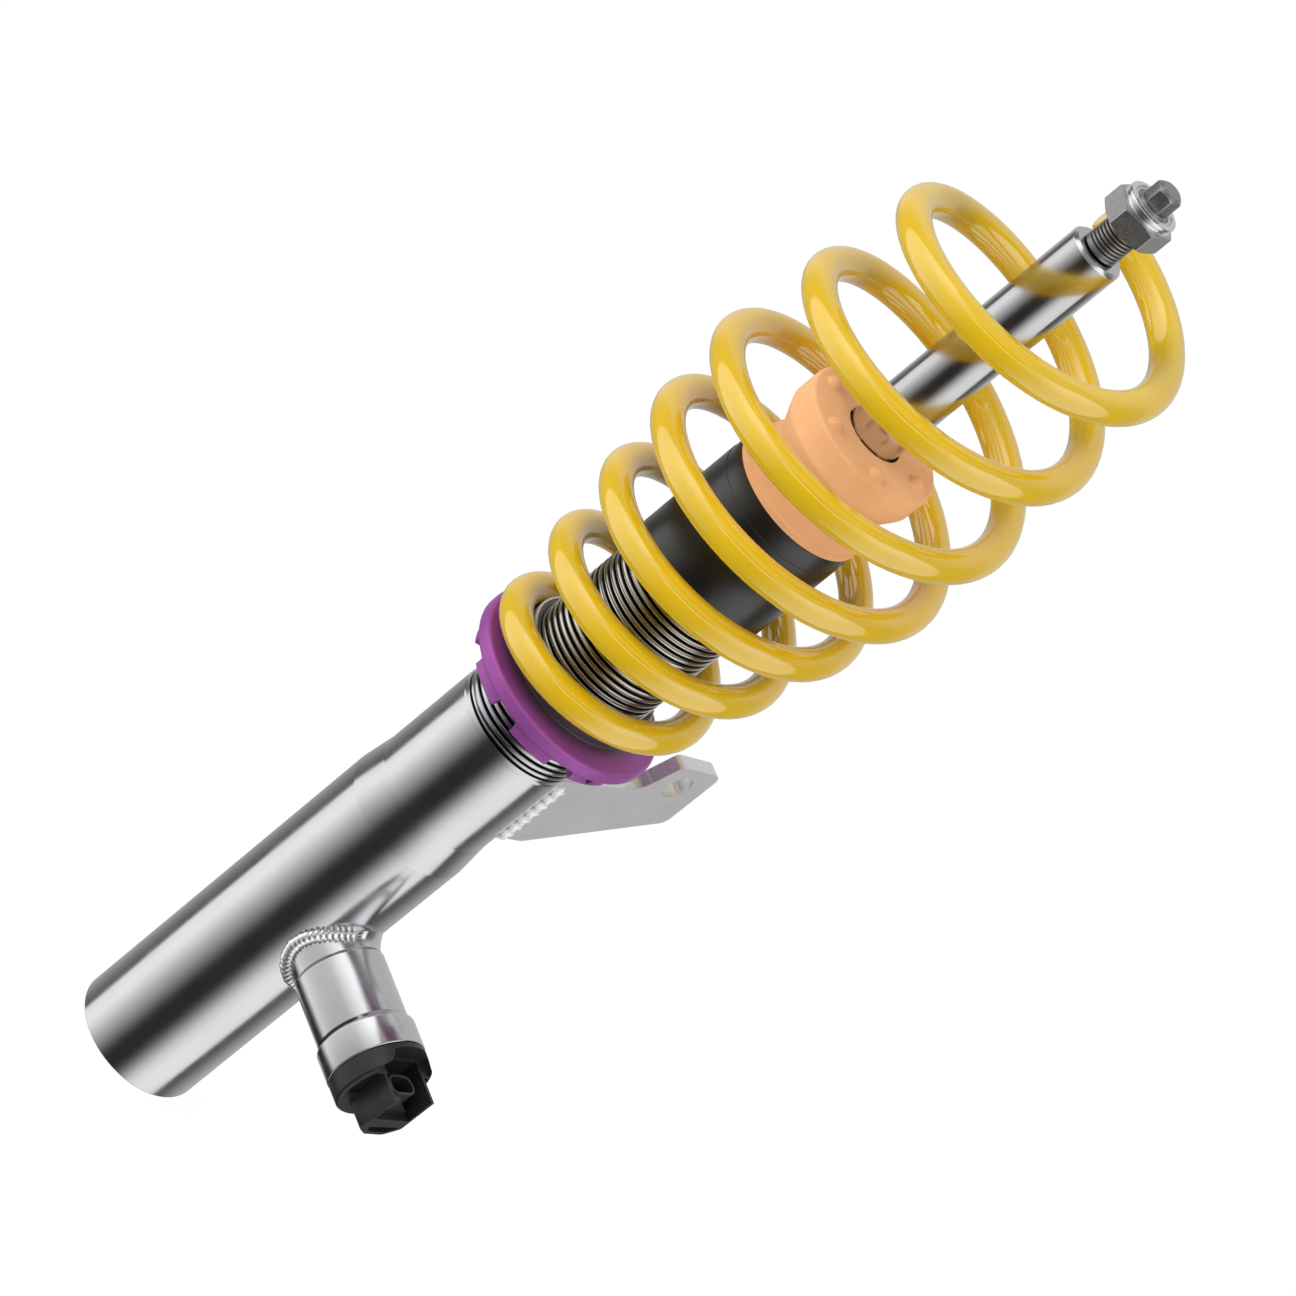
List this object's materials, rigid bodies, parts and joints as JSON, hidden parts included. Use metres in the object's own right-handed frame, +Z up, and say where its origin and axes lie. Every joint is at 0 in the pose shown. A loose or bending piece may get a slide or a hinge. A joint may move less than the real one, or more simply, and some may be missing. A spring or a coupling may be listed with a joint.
{
  "type": "coilover strut",
  "caption": "Clamp-in coilover strut with a threaded spring perch, barrel coil spring, foam bump stop, side-mounted damper valve and link bracket.",
  "frame": {"origin": "centre of the strut tube's foot, where the knuckle clamp starts", "axes": "+Z up the rod, +X along the side valve, +Y along the link bracket"},
  "size_m": [0.1581, 0.1495, 0.5418],
  "materials": {
    "polished_steel": "polished stainless",
    "plain_steel": "machined",
    "sintered_iron": "sintered",
    "bronze": "plain",
    "black_rubber": "matte",
    "valve_steel": "satin turned",
    "weld_metal": "rippled weld",
    "bracket_steel": "satin",
    "copper_winding": "enamelled wire",
    "connector_plastic": "fine moulded grain",
    "band_plastic": "matte",
    "rod_chrome": "hard chrome",
    "ring_plastic": "smooth",
    "spring_paint": "gloss powder coat",
    "perch_purple": "satin",
    "black_steel": "black oxide",
    "bump_foam": "matte closed-cell foam",
    "sleeve_plastic": "satin",
    "zinc_steel": "zinc plated"
  },
  "bodies": {
    "strut": {"strut_tube": "polished_steel", "bottom_cap": "plain_steel", "base_valve_body": "sintered_iron", "base_valve_discs": "plain_steel", "base_valve_bolt": "plain_steel", "inner_cylinder": "plain_steel", "feed_tube": "plain_steel", "feed_tube_seals": "black_rubber", "rod_guide": "sintered_iron", "guide_bush": "bronze", "guide_o_ring": "black_rubber", "rod_seal": "black_rubber", "gland_nut": "plain_steel", "valve_boss": "valve_steel", "boss_weld_bead": "weld_metal", "link_bracket": "bracket_steel", "bracket_weld_beads": "weld_metal", "valve_body": "plain_steel", "valve_o_rings": "black_rubber", "valve_housing": "valve_steel", "coil_bobbin": "connector_plastic", "solenoid_coil": "copper_winding", "pole_piece": "plain_steel", "spool_spring": "plain_steel", "crimp_collar": "valve_steel", "connector_seal": "black_rubber", "connector_housing": "connector_plastic", "contact_pins": "bronze"},
    "spool": {"valve_spool": "plain_steel", "armature": "plain_steel"},
    "band": {"piston_band": "band_plastic"},
    "rod_assembly": {"rod": "rod_chrome", "piston": "sintered_iron", "rebound_shims": "plain_steel", "compression_shims": "plain_steel", "piston_nut": "plain_steel", "rebound_stop": "plain_steel", "rebound_buffer": "black_rubber"},
    "spring_seat": {"slide_ring": "ring_plastic", "coil_spring": "spring_paint"},
    "perch": {"spring_perch": "perch_purple", "lock_screw": "black_steel"},
    "bump_stop_set": {"bump_stop": "bump_foam", "dust_sleeve": "sleeve_plastic"},
    "nut_ring": {"nut_insert": "ring_plastic"},
    "nut": {"top_nut": "zinc_steel"}
  },
  "joints": [
    {"name": "rod_stroke", "type": "slide", "parent": "strut", "child": "band", "axis": [0, 0, 1], "range_m": [-0.105, 0], "stiffness_N_per_m": 100, "springref_m": 1.5, "deforming": ["coil_spring"]},
    {"name": "rod_turn", "type": "hinge", "parent": "band", "child": "rod_assembly", "pos_m": [0, 0, 0.275], "axis": [0, 0, 1], "continuous": true},
    {"name": "seat_travel", "type": "slide", "parent": "strut", "child": "spring_seat", "axis": [0, 0, 1], "range_m": [-0.012, 0.045]},
    {"name": "perch_turn", "type": "hinge", "parent": "spring_seat", "child": "perch", "pos_m": [0, 0, 0.24], "axis": [0, 0, 1], "range_deg": [-1440, 5400]},
    {"name": "bump_stop_slide", "type": "slide", "parent": "strut", "child": "bump_stop_set", "axis": [0, 0, 1], "range_m": [0, 0.1]},
    {"name": "nut_travel", "type": "slide", "parent": "rod_assembly", "child": "nut_ring", "axis": [0, 0, 1], "range_m": [-0.012, 0.012]},
    {"name": "nut_turn", "type": "hinge", "parent": "nut_ring", "child": "nut", "pos_m": [0, 0, 0.527], "axis": [0, 0, 1], "range_deg": [-2880, 2880]},
    {"name": "spool_slide", "type": "slide", "parent": "strut", "child": "spool", "axis": [1, 0, 0], "range_m": [0, 0.0015], "stiffness_N_per_m": 2000, "springref_m": -0.003}
  ],
  "couplings": [
    {"joint": "perch_turn", "follows": "seat_travel", "rad_per_m": 2094.4},
    {"joint": "nut_turn", "follows": "nut_travel", "rad_per_m": 4188.8}
  ]
}
